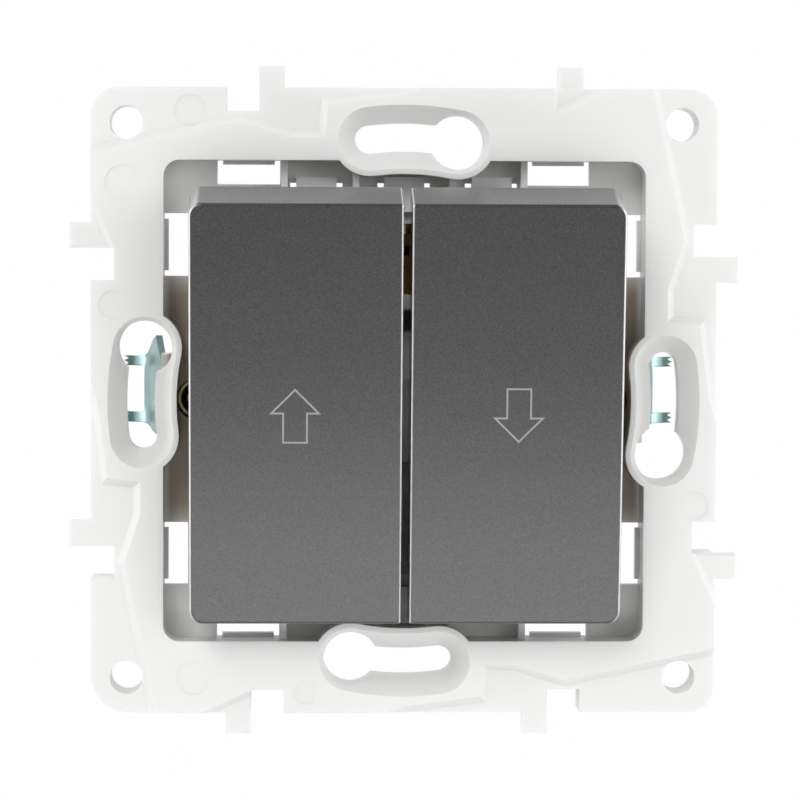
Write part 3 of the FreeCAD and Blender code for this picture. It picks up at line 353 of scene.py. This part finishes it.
# painted shade: browner colour for the well beside the middle of the keys, which the keys shade
WELL_PAINTED_SHADE = (0.42, 0.36, 0.29, 1)
WHITE_ROUGHNESS = (0.28, 0.42)
WELL_TOP, WELL_DEEP = -5.2, -3.5
WELL_SIDE, WELL_SIDE_FADE = 27.2, 0.6
WELL_MIDDLE, WELL_MIDDLE_FADE = 15.0, 3.0


def well_painted_shade_mask(tree):
    deep = ramp(tree, axis_of(tree, "Object", "Y"), WELL_TOP * MM, WELL_DEEP * MM)
    across = size_of(tree, "Object", "X")
    beside = ramp(tree, across, WELL_SIDE * MM, (WELL_SIDE - WELL_SIDE_FADE) * MM)
    height = size_of(tree, "Object", "Z")
    middle = ramp(tree, height, WELL_MIDDLE * MM, (WELL_MIDDLE - WELL_MIDDLE_FADE) * MM)
    return math_node(tree, "MULTIPLY", math_node(tree, "MULTIPLY", deep, beside), middle)


def white_plastic():
    finish, tree, shader = new_finish(
        "white_plastic",
        IOR=1.5,
        Specular_IOR_Level=0.4,
        Subsurface_Weight=0.35,
        Subsurface_Radius=(1, 1, 1),
        Subsurface_Scale=0.0014,
    )
    grain = use_group(tree, GRAIN, Grain_Scale=5000.0, Patch_Scale=90.0)
    # painted shade in corners, from the ambient occlusion mask
    corner_shade = use_group(tree, CORNER_SHADE, Reach=0.002, Amount=0.35)
    toned = blend_colours(tree, grain["Patches"], WHITE, WHITE_SHADE)
    # painted shade in the well beside the keys
    toned = blend_colours(tree, well_painted_shade_mask(tree), toned, WELL_PAINTED_SHADE)
    corner_shaded = blend_colours(tree, corner_shade["Mask"], toned, CORNER_SHADE_COLOUR)
    feed(tree, shader, Base_Color=corner_shaded, Roughness=spread(tree, grain["Patches"], *WHITE_ROUGHNESS))
    bump_from(tree, shader, grain["Height"], strength=0.15, distance=0.02)
    return finish


# %% [markdown]
# The keys are sprayed with graphite metallic lacquer: dark metal flakes under a thin satin coat. On the
# rounded edges between face and side a painted highlight, light grey in the colour, draws thin bright lines.
# Those edges are where the surface looks neither straight ahead nor straight to the side.

# %% Graphite lacquer
GRAPHITE_DARK = (0.036, 0.034, 0.035, 1)
GRAPHITE_LIGHT = (0.072, 0.070, 0.070, 1)
# painted highlight: light grey colour on the rounded edges of the keys
EDGE_PAINTED_HIGHLIGHT = (0.7, 0.7, 0.7, 1)
LACQUER_ROUGHNESS = (0.3, 0.42)
FACE_ENDS, EDGE_BEGINS = 0.2, 0.5
WALL_BEGINS, EDGE_ENDS = 0.99, 0.9


def graphite_lacquer():
    finish, tree, shader = new_finish("graphite_lacquer", Metallic=0.85, Coat_Weight=1.0, Coat_Roughness=0.16)
    flakes = use_group(tree, FLAKES, Flake_Scale=11000.0)
    # painted glint: each flake's colour is brightened or darkened at random
    painted_glint = blend_colours(tree, flakes["Glint"], GRAPHITE_DARK, GRAPHITE_LIGHT)
    sideways = size_of(tree, "Normal", "X")
    off_face = ramp(tree, sideways, FACE_ENDS, EDGE_BEGINS)
    off_wall = ramp(tree, sideways, WALL_BEGINS, EDGE_ENDS)
    # the painted highlight is mixed in where the normal turns between face and side
    edge_highlighted = blend_colours(tree, math_node(tree, "MULTIPLY", off_face, off_wall), painted_glint, EDGE_PAINTED_HIGHLIGHT)
    feed(tree, shader, Base_Color=edge_highlighted, Roughness=spread(tree, flakes["Tilt"], *LACQUER_ROUGHNESS))
    bump_from(tree, shader, flakes["Tilt"], strength=0.25, distance=0.02)
    return finish


# %% [markdown]
# The housing is white and the inner levers are nearly black, both of plastic with a matt, eroded tool finish.

# %% Matt plastic
ROUGHNESS_SPREAD = 0.08


def matt_plastic(name, dark, light, rough):
    finish, tree, shader = new_finish(name, IOR=1.5, Specular_IOR_Level=0.35)
    grain = use_group(tree, GRAIN, Grain_Scale=2500.0, Patch_Scale=150.0)
    colour = blend_colours(tree, grain["Patches"], dark, light)
    roughness = spread(tree, grain["Height"], rough - ROUGHNESS_SPREAD, rough + ROUGHNESS_SPREAD)
    feed(tree, shader, Base_Color=colour, Roughness=roughness)
    bump_from(tree, shader, grain["Height"], strength=0.4, distance=0.04)
    return finish


# %% [markdown]
# Plated and bare metals differ in colour and in how far they are dulled. The plate is cloudy at the scale of
# a millimetre, and drawing or stamping leaves fine streaks, which a stretched noise gives.

# %% Metals
STREAK_SCALE, CLOUD_SCALE = 900.0, 450.0
EVEN, ALONG_X, ALONG_Y, ALONG_Z = (1, 1, 1), (6, 1, 1), (1, 5, 1), (1, 1, 6)
METALS = {
    "spring_steel": [(0.5, 0.5, 0.5, 1), (0.4, 0.4, 0.41, 1), (0.2, 0.35), EVEN],
    "silver_contact": [(0.8, 0.79, 0.76, 1), (0.62, 0.61, 0.58, 1), (0.2, 0.35), EVEN],
    "contact_brass": [(0.5, 0.32, 0.13, 1), (0.36, 0.22, 0.09, 1), (0.22, 0.4), ALONG_Z],
    "zinc_steel": [(0.36, 0.5, 0.5, 1), (0.24, 0.33, 0.34, 1), (0.2, 0.38), ALONG_X],
    "screw_steel": [(0.62, 0.5, 0.26, 1), (0.45, 0.35, 0.18, 1), (0.2, 0.35), ALONG_Y],
    # painted shade: near-black finish for the screw's cup, which the light doesn't reach
    "oiled_recess": [(0.03, 0.027, 0.02, 1), (0.015, 0.013, 0.01, 1), (0.4, 0.6), EVEN],
}


def plated_metal(name, clear, cloudy, roughness, stretch):
    finish, tree, shader = new_finish(name, Metallic=1.0)
    streaks = object_noise(tree, STREAK_SCALE, 3.0, stretch)
    clouds = object_noise(tree, CLOUD_SCALE, 2.0)
    colour = blend_colours(tree, clouds, clear, cloudy)
    feed(tree, shader, Base_Color=colour, Roughness=spread(tree, streaks, *roughness))
    bump_from(tree, shader, streaks, strength=0.2, distance=0.02)
    return finish


# %% [markdown]
# With all finishes made, each rigid piece gets the one that its slot in the record names. The floor is the
# only thing with a plain material, because it is never seen from the front.

# %% Give every rigid piece its finish
FINISHES = {
    "white_plastic": white_plastic(),
    "graphite_lacquer": graphite_lacquer(),
    "housing_plastic": matt_plastic("housing_plastic", (0.8, 0.8, 0.79, 1), (0.74, 0.74, 0.73, 1), 0.45),
    "inner_plastic": matt_plastic("inner_plastic", (0.06, 0.06, 0.06, 1), (0.09, 0.09, 0.088, 1), 0.55),
}
for name, made_of in METALS.items():
    FINISHES[name] = plated_metal(name, *made_of)

slot_of = {part["node"]: part["material_slot"] for part in frame["record"]["subparts"]}
for name, piece in frame["nodes"].items():
    for slot in piece.material_slots:
        slot.material = FINISHES[slot_of[name]]
print("finishes:", ", ".join(sorted(FINISHES)))

floor_finish, _, _ = new_finish("pale_floor", Base_Color=(0.85, 0.85, 0.85, 1), Roughness=0.8)
floor.data.materials.append(floor_finish)

# %% [markdown]
# Each key carries a thin printed arrow outline, 5.8 mm wide and 6.2 mm high. It starts as a seven-cornered
# disc whose corners are pulled to the arrow's corners, then it is inset by the line's width, and the middle
# is deleted. The print lies on the key's tilted face, so it is turned about the key's pivot.

# %% The arrow's outline
KEY_TILT = math.radians(7.4)
PIVOT_OUT = 4.8
KEY_FACE = 9.4
ARROW_WIDTH, ARROW_HEIGHT, ARROW_SHAFT, ARROW_HEAD = 5.8, 6.2, 2.85, 2.9
LINE = 0.2
PRINT_HEIGHT = 0.015


def arrow_corners():
    half, shaft, top = ARROW_WIDTH / 2, ARROW_SHAFT / 2, ARROW_HEIGHT / 2
    root = top - ARROW_HEAD
    left = [(-half, root), (-shaft, root), (-shaft, -top)]
    return [(0, top)] + left + [(-x, z) for x, z in reversed(left)]


def key_arrow(name, centre_x, centre_z, points_up):
    corners = arrow_corners()
    bpy.ops.object.select_all(action="DESELECT")
    bpy.ops.mesh.primitive_circle_add(vertices=len(corners), fill_type="NGON")
    arrow = bpy.context.object
    arrow.name = name
    flip = 1 if points_up else -1
    for vertex, (x, z) in zip(arrow.data.vertices, corners):
        vertex.co = place(centre_x + x * flip, -KEY_FACE - PRINT_HEIGHT, centre_z + z * flip)
    bpy.ops.object.mode_set(mode="EDIT")
    bpy.ops.mesh.select_all(action="SELECT")
    bpy.ops.mesh.normals_make_consistent(inside=False)
    bpy.ops.mesh.inset(thickness=LINE * MM, use_boundary=True)
    bpy.ops.mesh.delete(type="FACE")
    bpy.ops.mesh.select_all(action="SELECT")
    bpy.ops.mesh.extrude_region_move(TRANSFORM_OT_translate={"value": (0, PRINT_HEIGHT * MM, 0)})
    bpy.ops.object.mode_set(mode="OBJECT")
    face_outward(arrow)
    turn = Matrix.Translation(place(0, -PIVOT_OUT, 0)) @ Matrix.Rotation(KEY_TILT, 4, "X")
    arrow.data.transform(turn)
    return arrow


# %% [markdown]
# The print is a thin layer of grey ink, a little uneven as pad printing is. Both arrows share one ink, and
# each rides on the body of its own key.

# %% Printed arrows
INK_LIGHT, INK_DARK = (0.38, 0.38, 0.38, 1), (0.28, 0.28, 0.28, 1)
INK_ROUGHNESS = (0.4, 0.6)
ARROWS = [("up_arrow", "up_switch", -12.4, 0.0, True), ("down_arrow", "down_switch", 12.5, 0.1, False)]

print_finish, print_tree, print_shader = new_finish("arrow_print", Specular_IOR_Level=0.3)
ink = use_group(print_tree, GRAIN, Grain_Scale=8000.0, Patch_Scale=700.0)
feed(
    print_tree,
    print_shader,
    Base_Color=blend_colours(print_tree, ink["Patches"], INK_LIGHT, INK_DARK),
    Roughness=spread(print_tree, ink["Height"], *INK_ROUGHNESS),
)

for name, body, x, z, points_up in ARROWS:
    arrow = key_arrow(name, x, z, points_up)
    arrow.data.materials.append(print_finish)
    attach(arrow, body)
    print(name, len(arrow.data.polygons), "faces")

# %% [markdown]
# The claws are stamped from zinc-plated sheet: rolled at the hinge, with an ear above the hinge's lugs, bent
# at the knee, and slit into two toothed arms. All lengths are in millimetres, outward and inward from the
# hinge. Each row of the sheet has a place on that bent path and two edges, above and below the middle.

# %% Path of the claw's sheet
HINGE_OUT, HINGE_IN = 26.4, 5.2
ROLL_RADIUS = 0.5
ROLL_START, ROLL_END, ROLL_STEPS = -285, -24, 10
LEG_ROWS = [(0.95, 1.3), (1.25, 2.2), (1.9, 3.7), (2.35, 4.9), (2.65, 5.8), (3.0, 6.5), (3.5, 6.95)]
ARM_ROWS = [(4.1, 7.38), (4.8, 7.86), (5.4, 8.28), (6.0, 8.7)]
ROLL_EDGES, HINGE_EDGES, ARM_EDGES = (4.9, 4.9), (3.75, 3.75), (4.45, 3.4)
EAR_EDGES = [(7.0, 4.6), (6.4, 4.3), (5.6, 3.9), (4.9, 3.6), (4.5, 3.4)]
NARROW_ROLL_ROWS = 2

sheet_path = []
for step in range(ROLL_STEPS + 1):
    roll_angle = math.radians(ROLL_START + (ROLL_END - ROLL_START) * step / ROLL_STEPS)
    sheet_path.append((ROLL_RADIUS * math.cos(roll_angle), ROLL_RADIUS * math.sin(roll_angle)))
sheet_path += LEG_ROWS + ARM_ROWS

wide_rolls = ROLL_STEPS + 1 - NARROW_ROLL_ROWS
before_ear = NARROW_ROLL_ROWS + len(LEG_ROWS) - len(EAR_EDGES)
sheet_edges = [ROLL_EDGES] * wide_rolls + [HINGE_EDGES] * before_ear + EAR_EDGES + [ARM_EDGES] * len(ARM_ROWS)
print("the sheet has", len(sheet_path), "rows")

# %% [markdown]
# Across the sheet, the columns are close together in the arms, where every second one is pulled back at the
# last row to leave the teeth standing. The arms lie a little higher than the hinge, as in the photograph.

# %% Columns of the claw's sheet
UPPER_ARM = [4.45, 4.16, 3.87, 3.58, 3.3]
LOWER_ARM = [-2.2, -2.5, -2.8, -3.1, -3.4]
WEB = [1.6, 0.5, -0.7]
TOOTH_OUT, TOOTH_IN = 0.55, 0.385

columns = UPPER_ARM + WEB + LOWER_ARM
tooth_gaps = [columns[i] for i in (1, 3, -2, -4)]
notch_row = len(sheet_path) - len(ARM_ROWS) - 1


def sheet_point(row, column, side):
    out, inward = sheet_path[row]
    across = columns[column]
    if row == len(sheet_path) - 1 and across in tooth_gaps:
        out, inward = out - TOOTH_OUT, inward - TOOTH_IN
    upper, lower = sheet_edges[row]
    across *= upper / UPPER_ARM[0] if across > 0 else -lower / LOWER_ARM[-1]
    return place(side * (HINGE_OUT + out), HINGE_IN + inward, across)


def in_notch(face):
    row = min(face.vertices) // len(columns)
    return row >= notch_row and LOWER_ARM[0] * MM < face.center.z < UPPER_ARM[-1] * MM


print("each row has", len(columns), "points")

# %% [markdown]
# A flat grid has as many rows and columns as the sheet, and each of its points is moved to its place on the
# path. The notch between the arms is cut out, Solidify gives the sheet its thickness, and Bevel rounds the
# stamped edges.

# %% Claw
SHEET = 0.8
STAMPED_EDGE = 0.08
STAMPED_ANGLE, SMOOTH_ANGLE = math.radians(50), math.radians(35)


def claw(name, side):
    bpy.ops.object.select_all(action="DESELECT")
    across, along = len(columns) - 1, len(sheet_path) - 1
    bpy.ops.mesh.primitive_grid_add(x_subdivisions=across, y_subdivisions=along, size=1)
    sheet = bpy.context.object
    sheet.name = name
    for i, vertex in enumerate(sheet.data.vertices):
        row, column = divmod(i, len(columns))
        vertex.co = sheet_point(row, column, side)
    delete_parts(sheet, "FACE", in_notch)
    face_outward(sheet)
    shape_by(sheet, "SOLIDIFY", thickness=SHEET * MM, offset=0)
    shape_by(sheet, "BEVEL", width=STAMPED_EDGE * MM, segments=2, angle_limit=STAMPED_ANGLE)
    face_outward(sheet)
    bpy.ops.object.shade_smooth_by_angle(angle=SMOOTH_ANGLE)
    return sheet


# %% [markdown]
# The claw's finish is the zinc of the other plated pieces, darkened towards the tips of the teeth.

# %% Finish of the claws
TIP_DARK = (0.05, 0.09, 0.08, 1)
TIP_BEGINS, TIP_ENDS = 30.6, 31.6

claw_zinc = FINISHES["zinc_steel"].copy()
claw_zinc.name = "claw_zinc"
zinc_tree = claw_zinc.node_tree
zinc_shader = zinc_tree.nodes["Principled BSDF"]
plate = zinc_shader.inputs["Base Color"].links[0].from_socket
tip = ramp(zinc_tree, size_of(zinc_tree, "Object", "X"), TIP_BEGINS * MM, TIP_ENDS * MM)
feed(zinc_tree, zinc_shader, Base_Color=blend_colours(zinc_tree, tip, plate, TIP_DARK))
print("finish", claw_zinc.name)

# %% [markdown]
# The two claws are mirror images. Each rides on its own arm's body and takes the place of the plain strip
# that the rigid model has there.

# %% Claws in place
for name, side in (("left", -1), ("right", 1)):
    piece = claw(f"{name}_claw_sheet", side)
    piece.data.materials.append(claw_zinc)
    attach(piece, f"{name}_claw_arm")
    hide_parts(f"{name}_claw")
    print(piece.name, len(piece.data.polygons), "faces")

# %% [markdown]
# The claw screws have a cupped head with a cross recess, whose rim is all that the light reaches. The cup
# gets a near-black finish as painted shade. The head is a cylinder whose front face is inset and pushed in,
# and the cross is cut out of it by two bars.

# %% Head of a claw screw
SCREW_OUT = 23.6
HEAD_RADIUS, HEAD_FRONT, HEAD_BACK = 2.2, 0.8, 2.4
CUP_RIM, CUP_DEPTH = 0.3, 0.7
CROSS_LONG, CROSS_WIDE, CROSS_DEPTH = 2.4, 0.6, 1.0
ROD_SIDES = 40
FACING_FRONT = -0.9
SIDEWAYS = (math.radians(90), 0, 0)


def turned_rod(radius, front, back, out):
    bpy.ops.object.select_all(action="DESELECT")
    middle = place(out, (front + back) / 2, 0)
    bpy.ops.mesh.primitive_cylinder_add(
        vertices=ROD_SIDES, radius=radius * MM, depth=(back - front) * MM, location=middle, rotation=SIDEWAYS
    )
    bpy.ops.object.transform_apply(location=True, rotation=True, scale=True)
    return bpy.context.object


def cut_cross(head, out):
    for wide, high in ((CROSS_LONG, CROSS_WIDE), (CROSS_WIDE, CROSS_LONG)):
        bpy.ops.object.select_all(action="DESELECT")
        bpy.ops.mesh.primitive_cube_add(size=1, location=place(out, HEAD_FRONT + CUP_DEPTH, 0))
        bar = bpy.context.object
        bar.scale = place(wide, CROSS_DEPTH, high)
        shape_by(head, "BOOLEAN", object=bar, operation="DIFFERENCE")
        pick(bar)
        bpy.ops.object.delete()


def screw_head(out):
    head = turned_rod(HEAD_RADIUS, HEAD_FRONT, HEAD_BACK, out)
    edit_parts(head, "FACE", lambda face: face.normal.y < FACING_FRONT)
    bpy.ops.mesh.inset(thickness=CUP_RIM * MM)
    bpy.ops.mesh.extrude_region_move(TRANSFORM_OT_translate={"value": (0, CUP_DEPTH * MM, 0)})
    head.data.materials.append(FINISHES["screw_steel"])
    # the cup's faces get the painted shade finish
    head.data.materials.append(FINISHES["oiled_recess"])
    head.active_material_index = 1
    bpy.ops.object.material_slot_assign()
    bpy.ops.object.mode_set(mode="OBJECT")
    cut_cross(head, out)
    return head


# %% [markdown]
# The thread is an M3 thread of its real pitch: one tooth of the profile, wound along the shank by the Screw
# modifier. The tooth starts as a triangle, and the side that would lie inside the shank is deleted.

# %% Thread of a claw screw
CREST, ROOT, THREAD_PITCH = 1.48, 1.25, 0.5
THREAD_TURNS, THREAD_STEPS = 29, 20
THREAD_START = HEAD_BACK + 0.4
TOOTH_PROFILE = [(ROOT, 0), (CREST, THREAD_PITCH / 2), (ROOT, THREAD_PITCH)]


def wound_thread(out):
    bpy.ops.object.select_all(action="DESELECT")
    bpy.ops.mesh.primitive_circle_add(vertices=3, fill_type="NOTHING", location=place(out, THREAD_START, 0))
    tooth = bpy.context.object
    for vertex, (radius, along) in zip(tooth.data.vertices, TOOTH_PROFILE):
        vertex.co = place(radius, along, 0)
    delete_parts(tooth, "EDGE", lambda edge: set(edge.vertices) == {0, 2})
    shape_by(
        tooth,
        "SCREW",
        axis="Y",
        screw_offset=THREAD_PITCH * MM,
        iterations=THREAD_TURNS,
        steps=THREAD_STEPS,
        render_steps=THREAD_STEPS,
        use_merge_vertices=True,
        merge_threshold=0.001 * MM,
    )
    bpy.ops.object.transform_apply(location=True, rotation=True, scale=True)
    return tooth


# %% [markdown]
# Head, shank and thread are joined to one mesh. The shank is a hair thicker than the thread's root, so that
# no gap shows between them, and it starts inside the head.

# %% Claw screws in place
SHANK_END = 17.6
SHANK_LAP, SHANK_IN_HEAD = 0.02, 0.2
SCREW_SMOOTH_ANGLE = math.radians(40)


def claw_screw(name, side):
    out = side * SCREW_OUT
    head = screw_head(out)
    shank = turned_rod(ROOT + SHANK_LAP, HEAD_BACK - SHANK_IN_HEAD, SHANK_END, out)
    thread = wound_thread(out)
    pick(head, shank, thread)
    bpy.ops.object.join()
    head.name = name
    face_outward(head)
    bpy.ops.object.shade_smooth_by_angle(angle=SCREW_SMOOTH_ANGLE)
    return head


for name, side in (("left", -1), ("right", 1)):
    piece = claw_screw(f"{name}_threaded_screw", side)
    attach(piece, f"{name}_screw")
    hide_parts(f"{name}_claw_screw")
    print(piece.name, len(piece.data.polygons), "faces")
